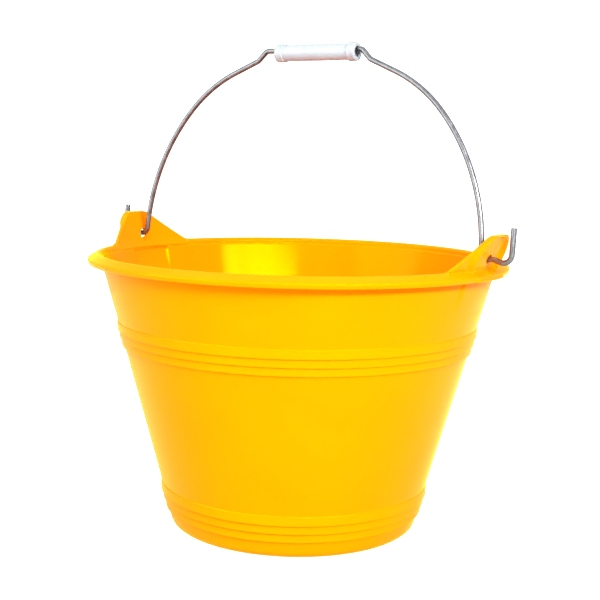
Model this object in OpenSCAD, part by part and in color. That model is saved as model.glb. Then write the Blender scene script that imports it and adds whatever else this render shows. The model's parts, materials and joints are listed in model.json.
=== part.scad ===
// Round sand bucket: a moulded plastic body with two pierced ears, a bent wire bail and a tube grip.
// Origin: centre of the face the bucket stands on. +Z is up, and +X runs from ear to ear.

/* [Bucket body] */
// Outer radius of the rim
rim_r = 160; // [150:1:170]
// Height of the crown of the rim above the ground
crown_z = 209; // [205:0.5:215]
// Outer radius of the wall, if its cone ran down to the ground
foot_r = 94.3; // [90:0.1:98]
// How far the wall leans out for each millimetre of height
wall_slope = 0.2725; // [0.24:0.0025:0.28]
// Thickness of the moulded wall
wall_t = 2.1; // [1.6:0.1:2.8]
// Height of the underside of the floor above the ground
floor_lift = 3; // [2:0.5:5]

/* [Stepped bands] */
// Heights of the tops of the two bands
band_tops = [158, 33];
// Height of one step in each band
band_pitches = [6.1, 6.6];
// Steps in a band
band_steps = 3; // [2:1:3]
// How far the first step stands out of the wall
band_bead = 0.45; // [0.2:0.05:0.8]

/* [Ears] */
// Height of an ear above the crown
ear_h = 24.5; // [20:0.5:28]
// Half of an ear's width where it grows out of the crown
ear_half_w = 45; // [38:1:50]
// Half of the flat along the top of an ear
ear_flat = 7; // [4:0.5:9]
// Radius of the shoulders beside that flat
ear_shoulder_r = 12; // [8:1:14]
// Thickness of an ear in its wings and in its dish
ear_t = 2.6; // [2:0.1:3]
// Thickness of the boss round an ear's hole
ear_w = 5.6; // [4:0.2:6]
// Radius of the round ends of that boss
boss_r = 21; // [18:0.5:24]
// Radius of the round ends of the dish in the boss
dish_r = 16; // [12:0.5:16]
// Half of the distance between the centres of the round ends of both
dish_half = 4; // [2:0.5:8]
// Diameter of the holes for the bail
eye_d = 7; // [6:0.5:8]
// Height of the holes above the crown
eye_h = 7; // [6:0.5:9]

/* [Bail] */
// Diameter of the wire
wire_d = 4; // [3:0.25:4.5]
// Radius of the long side bends
side_r = 155; // [150:1:155]
// Radius of the shoulders at the top of the bail
shoulder_r = 112; // [90:1:130]
// How far the upright bail leans back, towards +Y
bail_lean = 5.5; // [0:0.5:10]

/* [Grip] */
// Length of the tube
grip_len = 71; // [60:1:76]
// Diameter of the tube between its end collars
grip_d = 12; // [11:0.5:14]
// Diameter of the end collars
collar_d = 14; // [13:0.5:16]
// Diameter of the bore
grip_bore_d = 8; // [6:0.5:9]
// How far the grip has slid along the wire, towards +X
grip_slide = 3.5; // [-5:0.5:5]

/* [Hidden] */
$fn = 96;

// Rim: a roll at the crown, a sloping flange and a turned-down lip
roll_r = 3.4;
roll_x = rim_r - 7.6;
flange_drop = 3.3;
corner_r = 1.4;
lip_drop = 7.6;
lip_inset = 0.9;
lip_t = 1.9;
under_x = rim_r - 4.5;
under_drop = 0.8;
throat_drop = 2;

// Foot: a ring that the bucket stands on, with the floor lifted inside it
foot_round = 5.6;
foot_ring_w = 5;
foot_ring_slope = 2;
foot_bulge = 0.6;
floor_t = 2.4;
floor_round = 4;
floor_bulge = 0.8;

// Bands: the blend above the first step, the slope of each riser, and how far the last tread runs in
band_blend = 0.6;
riser_h = 0.5;
band_end = 0.3;

// Ears, and the pockets in the wall below them, with the angle that a side wall of a pocket takes
ear_face_r = rim_r - 8.8;
ear_slope = 0.42;
ear_root = 3;
ear_angle = 44;
pocket_angle = 16;
pocket_low = 177;
pocket_top = crown_z - 5;
pocket_depth = 2;
pocket_side = 0.8;
pivot_z = crown_z + eye_h;
chamfer_r = 2.4;
chamfer_in = 1.6;
chamfer_len = 2.4;

// Bail, drawn from one pivot up to the middle of the grip
side_centre = -4.4;
eye_bend_r = 5;
side_end = 42;
shoulder_end = 67;
shoulder_run = 22;
crank_r = 5;
crank_end = 45;
crank_run = 7.8;
hook_x = 170;
hook_dip = 18;
hook_run = 4;
hook_r = 6;
hook_tip = 18.5;
wire_r = wire_d / 2;
seam_r = wire_r + 0.04;
seam_len = 0.5;

// Outer radius of the plain wall at height z
function wall_r(z) = foot_r + wall_slope * z;

// Radius of an ear's inner face at height z
function ear_r(z) = ear_face_r + ear_slope * (z - crown_z);

// Points of an arc in a profile, from angle a0 to a1
function arc(c, r, a0, a1, n = 8) =
    [for (i = [0:n]) let (a = a0 + (a1 - a0) * i / n) c + r * [cos(a), sin(a)]];

// The steps of band b, from its top down, with each tread lowered by drop
function band(b, drop = 0) = let (
        z0 = band_tops[b], p = band_pitches[b],
        tread = (wall_slope * p * band_steps + band_end) / band_steps)
    concat(
        [[wall_r(z0), z0 + band_blend]],
        [for (i = [0:band_steps - 1]) let (r = wall_r(z0) + band_bead - i * tread)
            each [[r, z0 - i * p + (i == 0 ? 0 : drop - riser_h)], [r, z0 - (i + 1) * p + drop]]],
        [[wall_r(z0 - band_steps * p), z0 - band_steps * p + drop - riser_h]]);

function reversed(v) = [for (i = [len(v) - 1:-1:0]) v[i]];
function inset(v, d) = [for (p = v) p - [d, 0]];

// Half section of the whole moulding, without its ears
module bucket_section() {
    corner = [rim_r - corner_r, crown_z - flange_drop - corner_r];
    lean = atan(flange_drop / (rim_r - roll_x));
    throat = crown_z - roll_r;
    under = crown_z - flange_drop - lip_t;
    ring_r = wall_r(0) - foot_round - foot_ring_w;
    floor_top = floor_lift + floor_t;
    floor_r = wall_r(floor_top) - wall_t - floor_round + floor_bulge;
    outer = concat(
        [[ring_r, 0]],
        arc([wall_r(0) - foot_round + foot_bulge, foot_round], foot_round, -90, -14, 6),
        reversed(concat(band(0), band(1))),
        [[wall_r(under - throat_drop), under - throat_drop], [under_x, under - under_drop]],
        [[rim_r - lip_inset - lip_t, crown_z - lip_drop], [rim_r - lip_inset, crown_z - lip_drop]],
        arc(corner, corner_r, 0, 90 - lean, 5),
        arc([roll_x, throat], roll_r, 90 - lean, 180, 7));
    inner = concat(
        [[wall_r(throat - throat_drop) - wall_t, throat - throat_drop]],
        inset(concat(band(0, wall_t / 2), band(1, wall_t / 2)), wall_t),
        arc([floor_r, floor_top + floor_round], floor_round, -12, -90, 5),
        [[0, floor_top], [0, floor_lift], [ring_r - foot_ring_slope, floor_lift]]);
    polygon(concat(outer, inner));
}

// Outline of an ear seen along X: straight wings that meet a rounded, flat-topped head
module ear_outline() {
    r = ear_shoulder_r;
    c = [ear_flat, crown_z + ear_h - r];
    root = [ear_half_w, crown_z];
    away = norm(root - c);
    // Direction from the shoulder's centre to where the wing leaves it
    t = atan2(root[1] - c[1], root[0] - c[0]) + acos(r / away);
    dir = [cos(t), sin(t)];
    along = [sin(t), -cos(t)];
    leave = c + r * dir;
    foot = leave + along * (norm(root - leave) + ear_root);
    polygon([[-foot[0], foot[1]], [-leave[0], leave[1]], [-c[0], c[1] + r],
             [c[0], c[1] + r], leave, foot]);
    for (side = [-1, 1]) translate([side * c[0], c[1]]) circle(r);
}

// Outline of the boss or of its dish: two round ends of radius r, centred on the hole
module round_ended(r) {
    translate([-dish_half, pivot_z - r]) square([2 * dish_half, 2 * r]);
    for (side = [-1, 1]) translate([side * dish_half, pivot_z]) circle(r);
}

// An outline seen along X, made into a prism that passes through the ear on the +X side
module along_x() {
    translate([rim_r - 30, 0, 0]) rotate([90, 0, 90]) linear_extrude(height = 45) children();
}

// Part of a cone that leans like the ear, from one distance off its inner face to another
module ear_shell(from, to) {
    z0 = crown_z - ear_root;
    z1 = crown_z + ear_h + 1;
    rotate([0, 0, -ear_angle / 2]) rotate_extrude(angle = ear_angle, $fn = 180)
        polygon([[ear_r(z0) + from, z0], [ear_r(z0) + to, z0],
                 [ear_r(z1) + to, z1], [ear_r(z1) + from, z1]]);
}

// An ear on the +X side: a thin plate with a boss round the hole, and a dish sunk into the boss
module ear() {
    intersection() {
        ear_shell(0, ear_t);
        along_x() ear_outline();
    }
    intersection() {
        ear_shell(ear_t / 2, ear_w);
        along_x() intersection() {
            ear_outline();
            difference() {
                round_ended(boss_r);
                round_ended(dish_r);
            }
        }
    }
}

// A wedge that lies along the wall below an ear, depth deep at its top
module pocket(face_r, depth, angle) {
    rotate([0, 0, -angle / 2]) rotate_extrude(angle = angle, $fn = 180)
        polygon([[face_r + wall_slope * pocket_low - 1, pocket_low],
                 [face_r + wall_slope * pocket_low, pocket_low],
                 [face_r + wall_slope * pocket_top + depth, pocket_top],
                 [face_r + wall_slope * pocket_top - 1, pocket_top]]);
}

// Hole for the bail through an ear on the +X side, widened where it opens on the inner face
module eye() {
    face = ear_r(pivot_z);
    translate([face, 0, pivot_z]) rotate([0, 90, 0])
        cylinder(h = 4 * ear_w, d = eye_d, center = true);
    translate([face - chamfer_in, 0, pivot_z]) rotate([0, 90, 0])
        cylinder(h = chamfer_len, r1 = eye_d / 2 + chamfer_r, r2 = eye_d / 2);
}

// The whole moulding
module bucket() color("orange") difference() {
    union() {
        rotate_extrude($fn = 180) bucket_section();
        for (turn = [0, 180]) rotate([0, 0, turn]) {
            ear();
            pocket(foot_r, pocket_depth, pocket_angle);
        }
    }
    for (turn = [0, 180]) rotate([0, 0, turn]) {
        pocket(foot_r - wall_t, pocket_depth, pocket_angle - 2 * pocket_side);
        eye();
    }
}

// A path is walked as [x, z, heading] from a list of moves: [length, 0] is a straight,
// and [radius, turn] is a bend to the left for a positive turn and to the right for a negative one
function step(at, move) = move[1] == 0
    ? [at[0] + move[0] * cos(at[2]), at[1] + move[0] * sin(at[2]), at[2]]
    : let (s = sign(move[1]), a = at[2] - s * 90, b = a + move[1])
        [at[0] + move[0] * (cos(b) - cos(a)), at[1] + move[0] * (sin(b) - sin(a)), at[2] + move[1]];

function walk(at, moves, i = 0) =
    i == len(moves) ? [at] : concat([at], walk(step(at, moves[i]), moves, i + 1));

// One move as round wire in the XZ plane
module wire_piece(at, move) {
    translate([at[0], 0, at[1]]) rotate([0, -at[2], 0])
        if (move[1] == 0) {
            rotate([0, 90, 0]) cylinder(h = move[0], r = wire_r, $fn = 32);
        } else {
            s = sign(move[1]);
            translate([0, 0, s * move[0]]) rotate([90, 0, 0])
                rotate([0, 0, s > 0 ? -90 : 90 + move[1]])
                    rotate_extrude(angle = abs(move[1]), $fn = 180)
                        translate([move[0], 0]) circle(wire_r, $fn = 32);
        }
}

// A short sleeve, a hair thicker than the wire, that closes the seam between two moves
module seam(at) {
    translate([at[0], 0, at[1]]) rotate([0, 90 - at[2], 0])
        cylinder(h = seam_len, r = seam_r, center = true, $fn = 32);
}

module wire(start, moves) {
    stops = walk(start, moves);
    for (i = [0:len(moves) - 1]) {
        wire_piece(stops[i], moves[i]);
        if (i > 0) seam(stops[i]);
    }
}

// The side of the bail starts where its long bend reaches the height of the bend at the eye
side_start = asin(eye_bend_r * (1 + 1 / side_r) / side_r);
leg_x = side_centre + side_r * cos(side_start);
inner_start = [leg_x + eye_bend_r * cos(side_start), 0, 180];
upper_moves = [
    [eye_bend_r, -90 + side_start],
    [side_r, side_end - side_start],
    [shoulder_r, shoulder_end - side_end],
    [shoulder_run, 0],
    [crank_r, crank_end - shoulder_end],
    [crank_run, 0],
    [crank_r, 90 - crank_end]];
grip_line = walk(inner_start, upper_moves)[len(upper_moves)];
hook_moves = [
    [hook_x - hook_r - inner_start[0] - hook_run, 0],
    [hook_r, -hook_dip],
    [hook_run, 0],
    [hook_r, 90 + hook_dip],
    [hook_tip, 0]];

// Turns the bail and its grip about the line through the two eyes
module leaning() {
    translate([0, 0, pivot_z]) rotate([-bail_lean, 0, 0]) children();
}

// The bail: one length of wire, hooked outwards through both ears
module bail() color("silver") leaning() {
    for (turn = [0, 180]) rotate([0, 0, turn]) {
        wire(inner_start, upper_moves);
        wire([inner_start[0], 0, 0], hook_moves);
        seam(grip_line);
        seam(inner_start);
    }
    translate([-grip_line[0], 0, grip_line[1]]) rotate([0, 90, 0])
        cylinder(h = 2 * grip_line[0], r = wire_r, $fn = 32);
}

// Half section of the grip: a slightly barrelled tube between two rounded collars
module grip_section() {
    half = grip_len / 2;
    collar = 7;
    edge = 1.2;
    barrel = 0.25;
    neck = half - collar - 0.6;
    polygon(concat(
        [[grip_bore_d / 2, -half]],
        arc([collar_d / 2 - edge, -half + edge], edge, -90, 0, 4),
        arc([collar_d / 2 - edge, -half + collar - edge], edge, 0, 60, 3),
        [for (i = [-4:4]) [grip_d / 2 + barrel * (1 - i * i / 16), i / 4 * neck]],
        arc([collar_d / 2 - edge, half - collar + edge], edge, -60, 0, 3),
        arc([collar_d / 2 - edge, half - edge], edge, 0, 90, 4),
        [[grip_bore_d / 2, half]]));
}

// The grip hangs on the wire, so its own axis is a little below the wire's
grip_sag = (grip_bore_d - wire_d) / 2 - 0.15;

module grip() color("white") leaning()
    translate([grip_slide, 0, grip_line[1] - grip_sag]) rotate([0, 90, 0])
        rotate_extrude($fn = 64) grip_section();

bucket();
bail();
grip();
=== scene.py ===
import json
import math

import bmesh
import bpy
import numpy as np
from mathutils import Matrix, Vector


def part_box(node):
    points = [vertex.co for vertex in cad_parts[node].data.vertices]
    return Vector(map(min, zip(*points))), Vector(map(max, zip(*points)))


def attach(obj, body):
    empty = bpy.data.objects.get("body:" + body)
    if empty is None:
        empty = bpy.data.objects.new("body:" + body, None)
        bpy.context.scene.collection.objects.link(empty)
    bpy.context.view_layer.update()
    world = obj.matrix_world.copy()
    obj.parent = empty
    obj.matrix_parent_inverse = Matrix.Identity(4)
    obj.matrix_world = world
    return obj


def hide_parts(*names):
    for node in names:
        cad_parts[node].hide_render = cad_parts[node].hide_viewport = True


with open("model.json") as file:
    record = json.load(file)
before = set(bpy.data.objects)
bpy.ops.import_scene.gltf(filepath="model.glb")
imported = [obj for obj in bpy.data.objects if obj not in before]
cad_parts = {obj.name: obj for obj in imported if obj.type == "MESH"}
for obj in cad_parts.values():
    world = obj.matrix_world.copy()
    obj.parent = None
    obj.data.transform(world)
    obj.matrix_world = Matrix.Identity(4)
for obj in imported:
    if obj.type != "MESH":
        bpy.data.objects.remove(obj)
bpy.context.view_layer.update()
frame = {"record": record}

# ---- Camera ---------------------------------------------------------------------------------
# A 70 mm lens, 0.89 m from the bucket's axis and 0.29 m above its foot, 32 degrees round from the -Y
# side towards the ear at +X. It looks a little down and is held a little askew.
MM = 0.001
LENS_MM, SENSOR_MM = 69.57, 36.0
CAMERA_OUT, CAMERA_UP = 888.0 * MM, 292.6 * MM
TURN, YAW, PITCH, ROLL = np.radians([32.4, 0.11, 7.66, 1.32])


def camera_axes(turn, yaw, pitch, roll):
    """Right, up and back of a camera that looks along +Y, is turned by yaw to the right, pitched down
    and rolled, and is then carried round Z by turn: each is a sum of the unturned axes."""
    ahead = np.array([math.sin(yaw) * math.cos(pitch), math.cos(yaw) * math.cos(pitch), -math.sin(pitch)])
    right = np.array([math.cos(yaw), -math.sin(yaw), 0.0])
    up = np.cross(right, ahead)
    right, up = (math.cos(roll) * right + math.sin(roll) * up,
                 math.cos(roll) * up - math.sin(roll) * right)
    c, s = math.cos(turn), math.sin(turn)
    return np.array([[c, -s, 0], [s, c, 0], [0, 0, 1]]) @ np.array([right, up, -ahead]).T


camera = bpy.data.objects.new("camera", bpy.data.cameras.new("camera"))
bpy.context.scene.collection.objects.link(camera)
camera.data.lens, camera.data.sensor_width = LENS_MM, SENSOR_MM
camera.data.clip_start, camera.data.clip_end = 0.01, 100
pose = np.eye(4)
pose[:3, :3] = camera_axes(TURN, YAW, PITCH, ROLL)
pose[:3, 3] = CAMERA_OUT * math.sin(TURN), -CAMERA_OUT * math.cos(TURN), CAMERA_UP
camera.matrix_world = Matrix(pose)
bpy.context.scene.camera = camera

# ---- Bucket ---------------------------------------------------------------------------------
# One injection moulding in yellow polypropylene: a tapered wall with two stepped bands, a rolled
# and flanged rim, a foot ring, and an ear on each side that grows out of the rim and is pierced
# for the bail. All lengths, here and in the next two sections, are in millimetres.
EAR_H, EAR_HALF_W, EAR_FLAT, EAR_SHOULDER_R = 24.5, 45.0, 7.0, 12.0
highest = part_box("bucket")[1]
RIM_R = round(highest[1] / MM, 2)
CROWN_Z = round(highest[2] / MM - EAR_H, 2)
joints = {joint["name"]: joint for joint in frame["record"]["behaviour"]["joints"]}
PIVOT_Z = round(joints["bail_swing"]["pos_m"][2] / MM, 2)

# Wall, foot ring and lifted floor
FOOT_R, WALL_SLOPE, WALL_T, MID_Z = 94.3, 0.2725, 2.1, 95.0
FLOOR_LIFT, FLOOR_T, FLOOR_ROUND, FLOOR_FLAT_R = 3.0, 2.4, 4.5, 40.0
FOOT_ROUND, FOOT_BULGE, RING_W, RING_SLOPE, RING_ROUND = 5.6, 0.4, 5.0, 2.0, 0.8

# Stepped bands: the blend above each, how far the last tread runs in, the risers and their rounding
BAND_TOPS, BAND_PITCHES, BAND_STEPS, BAND_BEAD = (158.0, 33.0), (6.1, 6.6), 3, 0.45
BAND_BLEND, BAND_END, RISER_H, STEP_ROUND = 0.6, 0.3, 0.5, 0.35

# Rim: a roll at the crown, a sloping flange and a turned-down lip
ROLL_R, ROLL_X, FLANGE_DROP, CORNER_R = 3.4, RIM_R - 7.6, 3.3, 1.4
LIP_DROP, LIP_INSET, LIP_T, LIP_ROUND = 7.6, 0.9, 1.9, 0.6
THROAT_DROP, THROAT_ROUND, UNDER_X, UNDER_DROP, UNDER_ROUND = 2.0, 1.2, RIM_R - 4.5, 0.8, 1.0

# Ears, the boss and the dish round their holes, and the pockets in the wall below them
EAR_FACE_R, EAR_SLOPE, EAR_T, EAR_W, EAR_EDGE_R = RIM_R - 8.8, 0.42, 2.6, 5.6, 0.7
EAR_CUT, TOE_R, ROOT_H = 1.2, 1.0, 1.5
DISH_R, DISH_HALF, DISH_EDGE, BOSS_R, BOSS_EDGE = 16.0, 4.0, 1.3, 21.0, 6.0
EYE_R, CHAMFER_R, CHAMFER_FROM, CHAMFER_TO, PIN_REACH, PIN_SIDES = 3.5, 2.4, -1.6, 0.8, 9.0, 48
POCKET_HALF, POCKET_SIDE, POCKET_LOW, POCKET_TOP = math.radians(8.0), 0.006, 177.0, CROWN_Z - 5.0
POCKET_DEPTH, POCKET_BLEND = 2.0, 1.2

# Spacing of the mesh: degrees through the ears and round the rest, and rows up an ear and round an edge
EAR_REACH, EAR_STEP, WALL_STEP, FACE_ROWS, EDGE_ROWS, POCKET_ROWS = 17.6, 0.42, 2.6, 38, 5, 16


def smooth(low, high, x):
    """Rises from 0 at low to 1 at high, level at both ends: 3t^2 - 2t^3."""
    t = np.clip((x - low) / (high - low), 0, 1)
    return t * t * (3 - 2 * t)


def rounded(corners, steps=3, hold=0.5, share=0.42):
    """Profile through corners (r, z, radius). Each corner with a radius becomes an arc that touches
    both of its sides and takes no more than a share of the shorter one. One more point, hold mm past
    each end of the arc, keeps the shading of the flats even."""
    p = np.array([c[:2] for c in corners], float)
    out = [p[:1]]
    for a, b, c, radius in zip(p[:-2], p[1:-1], p[2:], [c[2] for c in corners[1:-1]]):
        u, v = (a - b) / np.linalg.norm(a - b), (c - b) / np.linalg.norm(c - b)
        half = math.acos(np.clip(u @ v, -1, 1)) / 2
        if radius == 0 or half > math.radians(89):
            out.append(b[None])
            continue
        room = share * min(np.linalg.norm(a - b), np.linalg.norm(c - b))
        reach = min(radius / math.tan(half), room)
        radius = reach * math.tan(half)
        centre = b + (u + v) / np.linalg.norm(u + v) * radius / math.sin(half)
        start, end = b + u * reach - centre, b + v * reach - centre
        first = math.atan2(start[1], start[0])
        sweep = (math.atan2(end[1], end[0]) - first + math.pi) % (2 * math.pi) - math.pi
        angle = first + sweep * np.linspace(0, 1, steps + 1)
        arc = centre + radius * np.stack([np.cos(angle), np.sin(angle)], 1)
        past = min(hold, room - reach * 0.9)
        out.append(np.vstack([(b + u * (reach + past))[None], arc, (b + v * (reach + past))[None]]))
    out.append(p[-1:])
    return np.vstack(out)


def wall_r(z):
    """Outer radius of the plain wall: a cone."""
    return FOOT_R + WALL_SLOPE * z


def band(top, pitch, drop=0.0):
    """Corners of one stepped band from its foot up: equal steps of pitch in height, the first of which
    stands BAND_BEAD out of the wall, so that each tread faces down. drop raises the treads, as on the
    inner wall."""
    tread = (WALL_SLOPE * pitch * BAND_STEPS + BAND_END) / BAND_STEPS
    low = top - BAND_STEPS * pitch
    corners = [(wall_r(low), low + drop - RISER_H, STEP_ROUND)]
    for i in reversed(range(BAND_STEPS)):
        r = wall_r(top) + BAND_BEAD - i * tread
        corners += [(r, top - (i + 1) * pitch + drop, STEP_ROUND),
                    (r, top - i * pitch + (0 if i == 0 else drop - RISER_H), STEP_ROUND)]
    return corners + [(wall_r(top), top + BAND_BLEND, BAND_BLEND)]


def inset(corners, by):
    """The same corners, moved in towards the axis."""
    return [(r - by, z, radius) for r, z, radius in corners]


# The half section, up the outside and then down the inside. The rows over the crown come later
UNDER = CROWN_Z - FLANGE_DROP - LIP_T
CORNER = np.array([RIM_R - CORNER_R, CROWN_Z - FLANGE_DROP - CORNER_R])
FLANGE_FOOT = CORNER + [-0.8, CORNER_R + 0.4]
LEAN = math.atan(FLANGE_DROP / (RIM_R - ROLL_X))
THROAT = CROWN_Z - ROLL_R
FLOOR_TOP = FLOOR_LIFT + FLOOR_T
LIP_Z = CROWN_Z - LIP_DROP
outer_bands = [band(top, pitch) for top, pitch in zip(BAND_TOPS, BAND_PITCHES)]
inner_bands = [inset(band(top, pitch, WALL_T / 2), WALL_T)[::-1]
               for top, pitch in zip(BAND_TOPS, BAND_PITCHES)]
ring_in = wall_r(0) - FOOT_ROUND - RING_W
foot = [(0, FLOOR_LIFT, 0), (ring_in - RING_SLOPE - 1, FLOOR_LIFT, 0),
        (ring_in - RING_SLOPE, FLOOR_LIFT, RING_ROUND), (ring_in, 0, RING_ROUND),
        (wall_r(0) + FOOT_BULGE, 0, FOOT_ROUND)]
pocket_outside = [(wall_r(z), z, 0) for z in
                  np.linspace(POCKET_LOW - 1, UNDER - THROAT_DROP - POCKET_BLEND / 2, POCKET_ROWS)]
lip = [(wall_r(UNDER - THROAT_DROP), UNDER - THROAT_DROP, THROAT_ROUND),
       (UNDER_X, UNDER - UNDER_DROP, UNDER_ROUND),
       (RIM_R - LIP_INSET - LIP_T, LIP_Z, LIP_ROUND), (RIM_R - LIP_INSET, LIP_Z, LIP_ROUND),
       (RIM_R, CORNER[1] + 0.2, CORNER_R), (CORNER[0], CORNER[1] + CORNER_R, CORNER_R), (*FLANGE_FOOT, 0)]
outer = rounded(foot + outer_bands[1] + [(wall_r(MID_Z), MID_Z, 0)] + outer_bands[0]
                + pocket_outside + lip)

pocket_down = [POCKET_TOP, POCKET_TOP - POCKET_BLEND / 2,
               *np.linspace(POCKET_TOP - POCKET_BLEND, POCKET_LOW - 1, POCKET_ROWS - 1)]
floor_line = [(wall_r(FLOOR_TOP) - WALL_T, FLOOR_TOP, FLOOR_ROUND), (FLOOR_FLAT_R, FLOOR_TOP, 0),
              (0, FLOOR_TOP, 0)]
pocket_inside = [(wall_r(z) - WALL_T, z, 0) for z in pocket_down]
inner = rounded([(ROLL_X - ROLL_R - 0.2, THROAT - 1.1, 0)] + pocket_inside + inner_bands[0]
                + [(wall_r(MID_Z) - WALL_T, MID_Z, 0)] + inner_bands[1] + floor_line, steps=2)


def ear_top(y):
    """Height of an ear's outline at a distance y from its middle: level, then round the shoulder, then
    down a straight wing that would pass through the crown at EAR_HALF_W."""
    cy, cz, r = EAR_FLAT, CROWN_Z + EAR_H - EAR_SHOULDER_R, EAR_SHOULDER_R
    away = math.hypot(EAR_HALF_W - cy, CROWN_Z - cz)
    t = math.atan2(CROWN_Z - cz, EAR_HALF_W - cy) + math.acos(r / away)
    leave = cy + r * math.cos(t)
    y = np.abs(y)
    shoulder = cz + np.sqrt(np.maximum(r * r - np.clip(y - cy, 0, r) ** 2, 0))
    wing = cz + r * math.sin(t) - (y - leave) / math.tan(t)
    return np.where(y < leave, shoulder, wing)


def ear_thick(y, z):
    """Thickness of an ear: EAR_T in its wings and its dish, EAR_W on the boss between. Boss and dish end
    at BOSS_R and DISH_R from the nearest point of a short level line through the eye, in soft steps."""
    d = np.hypot(np.maximum(np.abs(y) - DISH_HALF, 0), z - PIVOT_Z)
    boss = smooth(BOSS_R + BOSS_EDGE / 2, BOSS_R - BOSS_EDGE / 2, d)
    sunk = smooth(DISH_R + DISH_EDGE / 2, DISH_R - DISH_EDGE / 2, d)
    return EAR_T + (EAR_W - EAR_T) * (boss - sunk)


def ear_r(z):
    """Radius of an ear's inner face: it leans out more than the wall."""
    return EAR_FACE_R + EAR_SLOPE * (z - CROWN_Z)


def flange_z(r):
    """Height of the sloping top of the flange."""
    high = np.array([ROLL_X, THROAT]) + ROLL_R * np.array([math.sin(LEAN), math.cos(LEAN)])
    return high[1] + (r - high[0]) * (FLANGE_FOOT[1] - high[1]) / (FLANGE_FOOT[0] - high[0])


# Azimuths: close together through the ears, wider apart round the rest of the wall
near = np.arange(-EAR_REACH, EAR_REACH, EAR_STEP)
far = np.arange(EAR_REACH, 180 - EAR_REACH, WALL_STEP)
azimuth = np.radians(np.concatenate([near, far, near + 180, far + 180]))
from_ear = (azimuth + math.pi / 2) % math.pi - math.pi / 2
sine = np.abs(np.sin(from_ear))

# Top of the ear above its inner and its outer face, found by stepping towards the outline
top_in = np.full_like(sine, CROWN_Z)
top_out = top_in.copy()
for _ in range(8):
    top_in = np.maximum(ear_top(ear_r(top_in) * sine), CROWN_Z - EAR_CUT)
    top_out = np.maximum(ear_top((ear_r(top_out) + EAR_T) * sine), CROWN_Z - EAR_CUT)
eared = smooth(CROWN_Z - EAR_CUT, CROWN_Z + EAR_CUT, top_in)


def bent(start, corner, end, t):
    """Point (r, z) of a curve that leaves start towards corner and reaches end from it:
    (1-t)^2 start + 2t(1-t) corner + t^2 end."""
    return [(1 - t) ** 2 * a + 2 * t * (1 - t) * b + t * t * c for a, b, c in zip(start, corner, end)]


def ear_rows():
    """Rows (r, z) over an ear, outside to inside: up the flange, round the toe, up the outer face with
    its dish, over the top edge and down the inner face. Each row is a line all round the bucket."""
    toe_thick = ear_thick(ear_r(CROWN_Z) * sine, CROWN_Z)
    top_thick = ear_thick(ear_r(top_out) * sine, top_out)
    toe_r = ear_r(CROWN_Z - TOE_R) + toe_thick
    toe_z = flange_z(toe_r)
    flange_r = [FLANGE_FOOT[0] + (toe_r + 1.2 * TOE_R - FLANGE_FOOT[0]) * t for t in (0.0, 0.35, 0.7)]
    rows = [(r, flange_z(r)) for r in flange_r]
    face_z = toe_z + TOE_R
    rows += [bent((toe_r + TOE_R, flange_z(toe_r + TOE_R)), (toe_r, toe_z),
                  (ear_r(face_z) + toe_thick, face_z), t) for t in np.linspace(0, 1, EDGE_ROWS)]
    last_z = np.maximum(top_out - EAR_EDGE_R, face_z + 0.02)
    for t in np.linspace(0, 1, FACE_ROWS)[1:-1]:
        z = face_z + (last_z - face_z) * t
        rows.append((ear_r(z) + ear_thick((ear_r(z) + EAR_T) * sine, z), z))
    for a in np.linspace(0, math.pi / 2, EDGE_ROWS):
        z = top_out - EAR_EDGE_R * (1 - math.sin(a))
        rows.append((ear_r(z) + top_thick - EAR_EDGE_R * (1 - math.cos(a)), z))
    for t in (0.1, 0.5, 0.9):
        z = top_out + (top_in - top_out) * t
        rows.append((ear_r(z) + top_thick - EAR_EDGE_R - (top_thick - 2 * EAR_EDGE_R) * t, z))
    for a in np.linspace(math.pi / 2, 0, EDGE_ROWS):
        z = top_in - EAR_EDGE_R * (1 - math.sin(a))
        rows.append((ear_r(z) + EAR_EDGE_R * (1 - math.cos(a)), z))
    root_z = np.minimum(CROWN_Z + ROOT_H, top_in - EAR_EDGE_R - 0.1)
    for t in np.linspace(0, 1, 9)[1:]:
        z = (top_in - EAR_EDGE_R) * (1 - t) + root_z * t
        rows.append((ear_r(z), z))
    wall_top = (wall_r(POCKET_TOP + 0.4) - WALL_T + 0.1, POCKET_TOP + 0.4)
    corner = (wall_top[0] + 1.0, wall_top[1] + 2.0)
    rows += [bent((ear_r(root_z), root_z), corner, wall_top, t) for t in np.linspace(0, 1, 8)[1:-1]]
    return np.array([np.broadcast_arrays(r, z + 0 * sine) for r, z in rows])


def crown_rows(count):
    """The same number of rows over the plain rim: up the flange, round the roll and down its inside."""
    angle = np.linspace(math.pi / 2 - LEAN, math.pi, 40)
    roll = np.array([ROLL_X, THROAT]) + ROLL_R * np.stack([np.cos(angle), np.sin(angle)], 1)
    line = np.vstack([FLANGE_FOOT, FLANGE_FOOT + (roll[0] - FLANGE_FOOT) * 0.9, roll,
                      [ROLL_X - ROLL_R - 0.05, THROAT - 0.4]])
    length = np.concatenate([[0], np.cumsum(np.linalg.norm(np.diff(line, axis=0), axis=1))])
    at = np.linspace(0, length[-1], count)
    return np.stack([np.interp(at, length, line[:, 0]), np.interp(at, length, line[:, 1])], 1)


eared_rows = ear_rows()
plain_rows = crown_rows(len(eared_rows))[:, :, None]
crown = plain_rows + (eared_rows - plain_rows) * eared
outer_rows = outer[:, :, None] + 0 * sine
inner_rows = inner[:, :, None] + 0 * sine

# The pocket below each ear: the wall leans out more over +-POCKET_HALF, as a wedge, deepest at its top
side = smooth(POCKET_HALF + POCKET_SIDE, POCKET_HALF - POCKET_SIDE, np.abs(from_ear))
for rows, top in ((outer_rows, UNDER - 0.5), (inner_rows, POCKET_TOP)):
    z = rows[:, 1]
    ramp = np.clip((z - POCKET_LOW) / (POCKET_TOP - POCKET_LOW), 0, 1)
    rows[:, 0] += POCKET_DEPTH * side * ramp * smooth(top, top - POCKET_BLEND, z)


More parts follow.
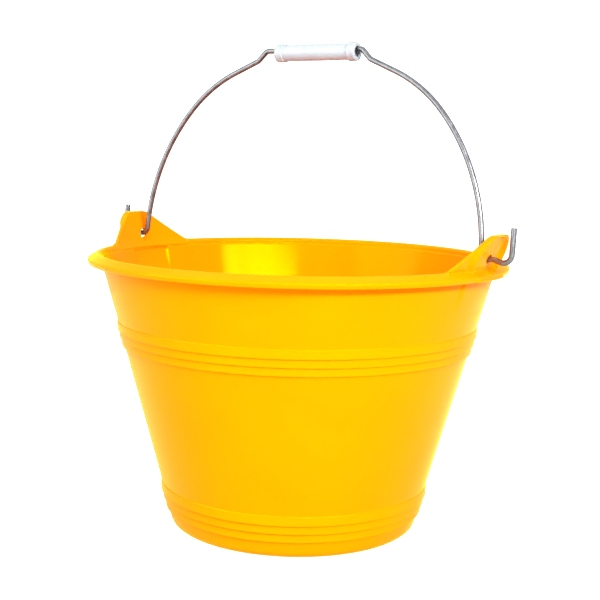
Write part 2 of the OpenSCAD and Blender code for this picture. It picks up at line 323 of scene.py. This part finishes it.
def rings_mesh(name, rows, angles):
    """Closed mesh from rows (row, r or z, azimuth) turned about Z: quads between rows, all round, and a
    fan at the pole of the first and of the last row."""
    n_rows, n_cols = rows.shape[0], rows.shape[2]
    r, z = rows[1:-1, 0], rows[1:-1, 1]
    points = np.stack([r * np.cos(angles), r * np.sin(angles), z], 2).reshape(-1, 3)
    poles = [[0, 0, rows[0, 1].mean()], [0, 0, rows[-1, 1].mean()]]
    points = np.vstack([points, poles]) * MM
    grid = np.arange((n_rows - 2) * n_cols).reshape(n_rows - 2, n_cols)
    step = np.roll(grid, -1, 1)
    quads = np.stack([grid[:-1], step[:-1], step[1:], grid[1:]], 2).reshape(-1, 4)
    first, last = len(points) - 2, len(points) - 1
    fans = np.concatenate([
        np.stack([step[0], grid[0], np.full(n_cols, first)], 1),
        np.stack([grid[-1], step[-1], np.full(n_cols, last)], 1)])
    mesh = bpy.data.meshes.new(name)
    mesh.from_pydata(points, [], quads.tolist() + fans.tolist())
    mesh.update()
    mesh.shade_smooth()
    obj = bpy.data.objects.new(name, mesh)
    bpy.context.scene.collection.objects.link(obj)
    return obj


bucket = rings_mesh("bucket_body", np.vstack([outer_rows, crown, inner_rows]), azimuth)


def eye_cutter(sign):
    """A turned pin along X through one ear: the eye's radius outside, and a flare towards the inside."""
    x = ear_r(PIVOT_Z) + np.array([-PIN_REACH, -PIN_REACH, CHAMFER_FROM, CHAMFER_TO, PIN_REACH, PIN_REACH])
    r = np.array([0, EYE_R + CHAMFER_R, EYE_R + CHAMFER_R, EYE_R, EYE_R, 0])
    rows = np.stack([r, x], 1)[:, :, None] + np.zeros(PIN_SIDES)
    pin = rings_mesh("eye_cutter", rows, np.linspace(0, 2 * np.pi, PIN_SIDES, endpoint=False))
    co = np.zeros(len(pin.data.vertices) * 3)
    pin.data.vertices.foreach_get("co", co)
    x, y, z = co.reshape(-1, 3).T
    pin.data.vertices.foreach_set("co", np.stack([sign * z, sign * y, x + PIVOT_Z * MM], 1).ravel())
    return pin


def recalc(obj):
    """Turns every face of a closed mesh outwards."""
    bm = bmesh.new()
    bm.from_mesh(obj.data)
    bmesh.ops.recalc_face_normals(bm, faces=bm.faces)
    bm.to_mesh(obj.data)
    bm.free()


for sign in (1, -1):
    pin = eye_cutter(sign)
    recalc(pin)
    cut = bucket.modifiers.new("eye", "BOOLEAN")
    cut.operation, cut.solver, cut.object = "DIFFERENCE", "EXACT", pin
    pierced = bucket.evaluated_get(bpy.context.evaluated_depsgraph_get())
    pierced_mesh = bpy.data.meshes.new_from_object(pierced)
    bucket.modifiers.clear()
    bucket.data = pierced_mesh
    bpy.data.objects.remove(pin)
bucket.data.name = "bucket_body"
bucket.data.set_sharp_from_angle(angle=math.radians(50))


def linear(hex_colour):
    """sRGB hex to linear RGBA, by the sRGB curve."""
    c = np.array([int(hex_colour[i:i + 2], 16) for i in (1, 3, 5)]) / 255
    c = np.where(c <= 0.04045, c / 12.92, ((c + 0.055) / 1.055) ** 2.4)
    return (*c.tolist(), 1.0)


def node(tree, kind, inputs=None, **settings):
    """Adds a node, sets its properties, and sets its inputs or links them to the sockets given."""
    n = tree.nodes.new(kind)
    for key, value in settings.items():
        setattr(n, key, value)
    for key, value in (inputs or {}).items():
        if isinstance(value, bpy.types.NodeSocket):
            tree.links.new(value, n.inputs[key])
        else:
            n.inputs[key].default_value = value
    return n


def new_material(name):
    """An empty node material and its tree."""
    m = bpy.data.materials.new(name)
    m.use_nodes = True
    m.node_tree.nodes.clear()
    return m, m.node_tree


# Polypropylene, injection moulded and glossy. The eye gets a deep warm yellow that is lighter at
# grazing edges, a faint waviness in the reflections, and fine upright rubs where sand has been.
PP_DEEP, PP_LIGHT, PP_SHINE, PP_EDGE = "#fa8e00", "#ff9500", "#ffe000", "#fff000"
PEEL_MM, MOTTLE_MM, RUB_MM = 7.0, 45.0, 1.2
polypropylene, tree = new_material("moulded polypropylene")
place = node(tree, "ShaderNodeTexCoord").outputs["Object"]
mottle = node(tree, "ShaderNodeTexNoise", {"Vector": place, "Scale": 1 / (MOTTLE_MM * MM), "Detail": 3.0})
tint = node(tree, "ShaderNodeMix", {
    0: mottle.outputs["Fac"], 6: linear(PP_DEEP), 7: linear(PP_LIGHT)}, data_type="RGBA")
upright = node(tree, "ShaderNodeMapping", {"Vector": place, "Scale": (1, 1, 0.08)})
rubs = node(tree, "ShaderNodeTexNoise", {
    "Vector": upright.outputs[0], "Scale": 1 / (RUB_MM * MM), "Detail": 5.0, "Roughness": 0.7})
rough = node(tree, "ShaderNodeMapRange", {"Value": rubs.outputs["Fac"], "From Min": 0.3, "From Max": 0.75,
                                          "To Min": 0.11, "To Max": 0.2})
peel = node(tree, "ShaderNodeTexNoise", {"Vector": place, "Scale": 1 / (PEEL_MM * MM), "Detail": 2.0})
wave = node(tree, "ShaderNodeBump", {"Height": peel.outputs["Fac"], "Strength": 0.1, "Distance": 0.4 * MM})
fine = node(tree, "ShaderNodeBump", {"Height": rubs.outputs["Fac"], "Strength": 0.05, "Distance": 0.05 * MM,
                                     "Normal": wave.outputs[0]})
skin = node(tree, "ShaderNodeBsdfPrincipled", {
    "Base Color": tint.outputs[2], "Roughness": rough.outputs[0], "Normal": fine.outputs[0],
    "IOR": 1.49, "Specular IOR Level": 0.24, "Specular Tint": linear(PP_SHINE),
    "Sheen Weight": 1.0, "Sheen Roughness": 0.3, "Sheen Tint": linear(PP_EDGE)})
node(tree, "ShaderNodeOutputMaterial", {"Surface": skin.outputs[0]})
bucket.data.materials.clear()
bucket.data.materials.append(polypropylene)
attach(bucket, "root")
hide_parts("bucket")

# ---- Bail -----------------------------------------------------------------------------------
# One length of 4 mm galvanised steel wire. It is bent over a former into a wide hoop with a crank on
# each side of the grip, pushed outwards through the two ears, and turned up into a hook outside each.
WIRE_R, CUT_EDGE = 2.0, 0.35
SIDE_R, SIDE_CENTRE, SIDE_END = 155.0, -4.4, 42.0
SHOULDER_R, SHOULDER_END, SHOULDER_RUN = 112.0, 67.0, 22.0
CRANK_R, CRANK_END, CRANK_RUN, EYE_BEND_R = 5.0, 45.0, 7.8, 5.0
HOOK_X, HOOK_DIP, HOOK_RUN, HOOK_R, HOOK_TIP = 170.0, 18.0, 4.0, 6.0, 18.5
BAIL_LEAN = math.radians(5.5)

# Spacing of the mesh: points round the wire, mm along a straight and along a bend, and degrees of a bend
SPIN_STEPS, STRAIGHT_STEP, BEND_STEP, TURN_STEP, TOP_STEPS = 24, 3.0, 2.79, 9.0, 16


def walk(x, z, heading, moves):
    """Centre line [x, z, heading] of bent wire: each move is (length, 0), a straight, or (radius, turn),
    an arc whose centre lies to the left of the heading for a positive turn and to the right for a
    negative one."""
    out = [np.array([[x, z, heading]], float)]
    for size, turn in moves:
        if turn == 0:
            t = np.linspace(0, size, max(int(size / STRAIGHT_STEP), 1) + 1)[1:]
            a = math.radians(heading)
            part = np.stack([x + math.cos(a) * t, z + math.sin(a) * t, heading + 0 * t], 1)
        else:
            step = min(math.degrees(BEND_STEP / size), TURN_STEP)
            t = np.linspace(0, turn, max(int(abs(turn) / step), 2) + 1)[1:]
            start = heading - math.copysign(90, turn)
            a, a0 = np.radians(start + t), math.radians(start)
            part = np.stack([x + size * (np.cos(a) - math.cos(a0)),
                             z + size * (np.sin(a) - math.sin(a0)), heading + t], 1)
        out.append(part)
        x, z, heading = part[-1]
    return np.vstack(out)


# Half the bail, from its hook's cut end through the ear and up to the grip, and then the whole of it
side_start = math.degrees(math.asin(EYE_BEND_R * (1 + 1 / SIDE_R) / SIDE_R))
leg_x = SIDE_CENTRE + SIDE_R * math.cos(math.radians(side_start))
turn_x = leg_x + EYE_BEND_R * math.cos(math.radians(side_start))
up = walk(turn_x, 0, 180, [(EYE_BEND_R, side_start - 90), (SIDE_R, SIDE_END - side_start),
                           (SHOULDER_R, SHOULDER_END - SIDE_END), (SHOULDER_RUN, 0),
                           (CRANK_R, CRANK_END - SHOULDER_END), (CRANK_RUN, 0), (CRANK_R, 90 - CRANK_END)])
hook = walk(turn_x, 0, 0, [(HOOK_X - HOOK_R - turn_x - HOOK_RUN, 0), (HOOK_R, -HOOK_DIP), (HOOK_RUN, 0),
                           (HOOK_R, 90 + HOOK_DIP), (HOOK_TIP, 0)])
half = np.vstack([hook[::-1] + [0, 0, 180], up[1:]])
mirrored = half[::-1] * [-1, 1, -1] + [0, 0, 360]
top = np.linspace(half[-1], mirrored[0], TOP_STEPS)[1:-1]
line = np.vstack([half, top, mirrored])


def tube(path, radius, edge):
    """Round wire along a flat path (x, z, heading): a circle across the heading at each point. Each end
    has a circle that is smaller by edge, with a full one edge mm further in, and a fan that closes it.
    Also gives the distance along the wire of each circle, and the angles round a circle."""
    a = np.radians(path[:, 2])
    ahead = np.stack([np.cos(a), 0 * a, np.sin(a)], 1)
    across = np.stack([-np.sin(a), 0 * a, np.cos(a)], 1)
    centre = np.stack([path[:, 0], 0 * a, path[:, 1]], 1)
    centre = np.vstack([centre[:1], centre[:1] + edge * ahead[:1], centre[1:-1],
                        centre[-1:] - edge * ahead[-1:], centre[-1:]])
    across = np.vstack([across[:1], across, across[-1:]])
    size = np.concatenate([[radius - edge], np.full(len(path), radius), [radius - edge]])
    spin = np.linspace(0, 2 * np.pi, SPIN_STEPS, endpoint=False)
    ring = (np.cos(spin)[None, :, None] * across[:, None]
            + np.sin(spin)[None, :, None] * np.array([0, 1, 0])) * size[:, None, None] + centre[:, None]
    points = np.vstack([ring.reshape(-1, 3), centre[0], centre[-1]])
    grid = np.arange(len(centre) * SPIN_STEPS).reshape(-1, SPIN_STEPS)
    step = np.roll(grid, -1, 1)
    quads = np.stack([grid[:-1], grid[1:], step[1:], step[:-1]], 2).reshape(-1, 4)
    fans = np.concatenate([np.stack([step[0], np.full(SPIN_STEPS, len(points) - 2), grid[0]], 1),
                           np.stack([grid[-1], np.full(SPIN_STEPS, len(points) - 1), step[-1]], 1)])
    run = np.concatenate([[0], np.cumsum(np.linalg.norm(np.diff(centre, axis=0), axis=1))])
    return points, quads.tolist() + fans.tolist(), run, spin


def lean_back(points):
    """Turns points given from the pivot line, in mm, back by the bail's lean, and lifts them onto it."""
    x, y, z = points.T
    c, s = math.cos(BAIL_LEAN), math.sin(BAIL_LEAN)
    return np.stack([x, y * c + z * s, z * c - y * s + PIVOT_Z], 1) * MM


points, faces, run, spin = tube(line, WIRE_R, CUT_EDGE)
mesh = bpy.data.meshes.new("bail_wire")
mesh.from_pydata(lean_back(points), [], faces)
# Each point's distance along the wire and its place in the wire's round section, in metres
section = np.stack([np.cos(spin), np.sin(spin)], 1) * WIRE_R
wire_place = np.column_stack([np.repeat(run, SPIN_STEPS), np.tile(section, (len(run), 1))])
wire_place = np.vstack([wire_place, [0, 0, 0], [run[-1], 0, 0]]) * MM
mesh.attributes.new("along", "FLOAT_VECTOR", "POINT").data.foreach_set("vector", wire_place.ravel())
mesh.shade_smooth()
bail = bpy.data.objects.new("bail_wire", mesh)
bpy.context.scene.collection.objects.link(bail)
recalc(bail)
bail.data.set_sharp_from_angle(angle=math.radians(40))

# Galvanised mild steel wire, drawn and then hot dipped. The eye gets a dull grey metal with lighter
# and darker patches of zinc, fine lines along the wire and a soft shine.
ZINC_DARK, ZINC_LIGHT = "#4c4e50", "#a2a5a8"
PATCH_MM, DRAW_MM = 3.0, 0.5
galvanised, tree = new_material("galvanised drawn steel")
along = node(tree, "ShaderNodeAttribute", attribute_name="along").outputs["Vector"]
patch = node(tree, "ShaderNodeTexNoise", {
    "Vector": node(tree, "ShaderNodeMapping", {"Vector": along, "Scale": (0.5, 1, 1)}).outputs[0],
    "Scale": 1 / (PATCH_MM * MM), "Detail": 4.0, "Roughness": 0.65})
draw = node(tree, "ShaderNodeTexNoise", {
    "Vector": node(tree, "ShaderNodeMapping", {"Vector": along, "Scale": (0.04, 1, 1)}).outputs[0],
    "Scale": 1 / (DRAW_MM * MM), "Detail": 3.0})
zinc = node(tree, "ShaderNodeMix", {
    0: patch.outputs["Fac"], 6: linear(ZINC_DARK), 7: linear(ZINC_LIGHT)}, data_type="RGBA")
dull = node(tree, "ShaderNodeMapRange", {"Value": patch.outputs["Fac"], "From Min": 0.3, "From Max": 0.7,
                                         "To Min": 0.28, "To Max": 0.45})
lines = node(tree, "ShaderNodeBump", {
    "Height": draw.outputs["Fac"], "Strength": 0.35, "Distance": 0.05 * MM})
steel = node(tree, "ShaderNodeBsdfPrincipled", {
    "Base Color": zinc.outputs[2], "Metallic": 0.8, "Roughness": dull.outputs[0],
    "Normal": lines.outputs[0]})
node(tree, "ShaderNodeOutputMaterial", {"Surface": steel.outputs[0]})
bail.data.materials.append(galvanised)
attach(bail, "bail")
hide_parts("bail")

# ---- Grip -----------------------------------------------------------------------------------
# A tube of white polyethylene with a rounded collar at each end, moulded in a two-part tool that
# leaves a fine line along each side. It turns loosely on the straight top of the bail.
GRIP_LEN, GRIP_R, COLLAR_R, BORE_R, GRIP_SLIDE = 71.0, 6.0, 7.0, 4.0, 3.5
COLLAR_LEN, COLLAR_ROUND, COLLAR_BACK, NECK_ROUND, BORE_EDGE = 7.0, 2.0, 1.6, 0.7, 0.5
BARREL, BARREL_ENDS, BARREL_ROWS = 0.25, 3.0, 21
LINE_ANGLE, LINE_PROUD, LINE_WIDE = 0.6, 0.12, 0.05
GRIP_SAG = BORE_R - WIRE_R - 0.15

# Profile (r, x) from the middle of the bore, out round one end, along the outside and back
half_len, inside = GRIP_LEN / 2, GRIP_LEN / 2 - COLLAR_LEN
end = [(BORE_R, half_len, BORE_EDGE), (COLLAR_R, half_len, COLLAR_ROUND), (COLLAR_R, inside, COLLAR_BACK),
       (GRIP_R, inside, NECK_ROUND)]
barrel = [(GRIP_R + BARREL * (1 - (x / inside) ** 2), x, 0)
          for x in np.linspace(inside - BARREL_ENDS, BARREL_ENDS - inside, BARREL_ROWS)]
bore_x = half_len - COLLAR_LEN + 1
corners = [(BORE_R, 0, 0), (BORE_R, bore_x, 0), *end, *barrel, *[(r, -x, q) for r, x, q in end[::-1]],
           (BORE_R, -bore_x, 0), (BORE_R, 0, 0)]
profile = rounded(corners, steps=6, hold=0.4)[:-1]

# The profile turned about the wire, raised on its outside along two lines that lie opposite each other
spin = np.linspace(0, 2 * np.pi, 96, endpoint=False)
from_line = np.angle(np.exp(2j * (spin - LINE_ANGLE))) / 2
outside = profile[:, 0, None] > GRIP_R - 0.5
r = profile[:, 0, None] + LINE_PROUD * outside * np.exp(-(from_line / LINE_WIDE) ** 2)
x = profile[:, 1, None] + 0 * spin
points = np.stack([x + GRIP_SLIDE, r * np.sin(spin), r * np.cos(spin) + up[-1, 1] - GRIP_SAG], 2)
points = points.reshape(-1, 3)
grid = np.arange(len(points)).reshape(len(profile), -1)
after, step = np.roll(grid, -1, 0), np.roll(grid, -1, 1)
quads = np.stack([grid, step, np.roll(after, -1, 1), after], 2).reshape(-1, 4)
mesh = bpy.data.meshes.new("grip_tube")
mesh.from_pydata(lean_back(points), [], quads.tolist())
mesh.shade_smooth()
grip = bpy.data.objects.new("grip_tube", mesh)
bpy.context.scene.collection.objects.link(grip)
recalc(grip)

# Polyethylene, injection moulded and a little waxy. The eye gets a soft milky white with broad dull
# highlights and a faint greying where hands and dust have been. The white is set a little dark and
# cool, because the lamps are bright and the bucket throws a warm light up at it.
PE_WHITE, PE_WORN, WORN_MM, GRAIN_MM = "#abb2b8", "#a2a8ac", 14.0, 0.8
polyethylene, tree = new_material("moulded polyethylene")
place = node(tree, "ShaderNodeTexCoord").outputs["Object"]
worn = node(tree, "ShaderNodeTexNoise", {"Vector": place, "Scale": 1 / (WORN_MM * MM), "Detail": 5.0})
dusty = node(tree, "ShaderNodeMapRange", {"Value": worn.outputs["Fac"], "From Min": 0.45, "From Max": 0.8})
white = node(tree, "ShaderNodeMix", {
    0: dusty.outputs[0], 6: linear(PE_WHITE), 7: linear(PE_WORN)}, data_type="RGBA")
grain = node(tree, "ShaderNodeTexNoise", {"Vector": place, "Scale": 1 / (GRAIN_MM * MM), "Detail": 3.0})
bump = node(tree, "ShaderNodeBump", {
    "Height": grain.outputs["Fac"], "Strength": 0.05, "Distance": 0.02 * MM})
waxy = node(tree, "ShaderNodeMapRange", {"Value": worn.outputs["Fac"], "To Min": 0.3, "To Max": 0.5})
soft = node(tree, "ShaderNodeBsdfPrincipled", {
    "Base Color": white.outputs[2], "Roughness": waxy.outputs[0], "Normal": bump.outputs[0], "IOR": 1.51,
    "Subsurface Weight": 0.15, "Subsurface Scale": 1.5 * MM})
node(tree, "ShaderNodeOutputMaterial", {"Surface": soft.outputs[0]})
grip.data.materials.append(polyethylene)
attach(grip, "grip")
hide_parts("grip")

# ---- Studio ---------------------------------------------------------------------------------
# A white paper floor in a white room, in metres. A long softbox to the right of the camera shows as a
# bright window in the glossy inner wall, a square one fills in from the left, and the rest is overhead.
FLOOR_HALF, FLOOR_WHITE = 12.0, "#dcdcdc"
ROOM_LIGHT, BACKDROP, BUCKET_MIDDLE = 0.6, 2.0, 0.18
floor_mesh = bpy.data.meshes.new("floor")
corners = np.array([(-1, -1, 0), (1, -1, 0), (1, 1, 0), (-1, 1, 0)]) * FLOOR_HALF
floor_mesh.from_pydata(corners, [], [(0, 1, 2, 3)])
floor = bpy.data.objects.new("floor", floor_mesh)
bpy.context.scene.collection.objects.link(floor)

# Matt white paper that also glows, for the camera only, so that it shows as pure white
paper, tree = new_material("matt white paper")
matt = node(tree, "ShaderNodeBsdfPrincipled", {
    "Base Color": linear(FLOOR_WHITE), "Roughness": 0.9, "Specular IOR Level": 0.1,
    "Emission Color": (1, 1, 1, 1),
    "Emission Strength": node(tree, "ShaderNodeLightPath").outputs["Is Camera Ray"]})
node(tree, "ShaderNodeOutputMaterial", {"Surface": matt.outputs[0]})
floor_mesh.materials.append(paper)

# The room gives an even light of its own, and the camera sees it as a brighter, pure white backdrop
world = bpy.data.worlds.new("studio")
bpy.context.scene.world = world
world.use_nodes = True
tree = world.node_tree
tree.nodes.clear()
seen = node(tree, "ShaderNodeLightPath").outputs["Is Camera Ray"]
level = node(tree, "ShaderNodeMapRange", {"Value": seen, "To Min": ROOM_LIGHT, "To Max": BACKDROP})
node(tree, "ShaderNodeOutputWorld", {"Surface": node(tree, "ShaderNodeBackground", {
    "Color": (1, 1, 1, 1), "Strength": level.outputs[0]}).outputs[0]})


def lamp(name, kind, bearing, height, distance, **settings):
    """A lamp that looks at the bucket's middle from a bearing (degrees to the right of the camera) and a
    height above the horizon."""
    data = bpy.data.lights.new(name, kind)
    for key, value in settings.items():
        setattr(data, key, value)
    a, e = TURN + math.radians(bearing), math.radians(height)
    back = np.array([math.sin(a) * math.cos(e), -math.cos(a) * math.cos(e), math.sin(e)])
    right = np.array([math.cos(a), math.sin(a), 0])
    obj = bpy.data.objects.new(name, data)
    bpy.context.scene.collection.objects.link(obj)
    m = np.eye(4)
    m[:3, :3] = np.array([right, np.cross(back, right), back]).T
    m[:3, 3] = back * distance + [0, 0, BUCKET_MIDDLE]
    obj.matrix_world = Matrix(m)


lamp("softbox", "AREA", 27.6, 24, 2.2, shape="RECTANGLE", size=1.95, size_y=0.3, energy=85)
lamp("fill", "AREA", -65, 15, 2.5, shape="RECTANGLE", size=2.0, size_y=2.0, energy=60)
lamp("overhead", "SUN", -20, 75, 3, energy=1.6, angle=math.radians(100))

view = bpy.context.scene.view_settings
view.view_transform, view.look = "Standard", "High Contrast"
view.exposure = -0.75
